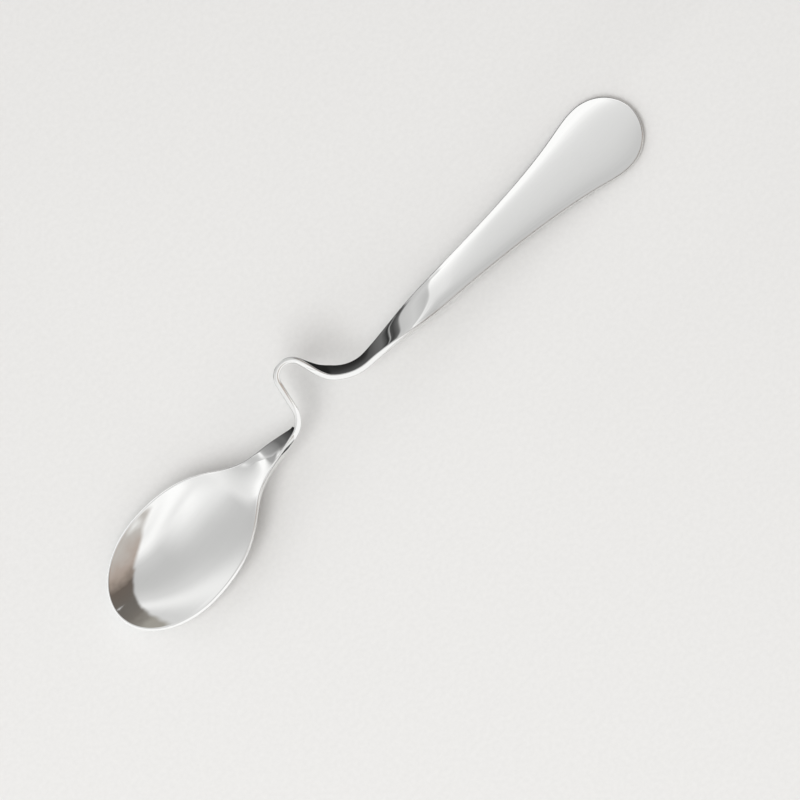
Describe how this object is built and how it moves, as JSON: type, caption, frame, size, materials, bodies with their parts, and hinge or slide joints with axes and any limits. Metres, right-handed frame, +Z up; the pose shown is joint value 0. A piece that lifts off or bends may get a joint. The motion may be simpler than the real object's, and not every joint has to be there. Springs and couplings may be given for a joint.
{
  "type": "hanging coffee spoon",
  "caption": "Polished steel coffee spoon with an egg-shaped bowl, a flat round-ended handle and a neck twisted and bent into a narrow V that hangs it on the rim of a cup.",
  "frame": {"origin": "under the middle of the spoon's length and width, on the table it lies on", "axes": "+X from the tip of the bowl to the end of the handle, +Y to the side the hook points to, +Z up out of the open bowl"},
  "size_m": [0.168, 0.0286, 0.0161],
  "materials": {
    "steel": "mirror polished stainless steel"
  },
  "bodies": {
    "root": {"bowl": "steel", "neck": "steel", "hook": "steel", "shank": "steel", "handle": "steel"}
  },
  "joints": []
}
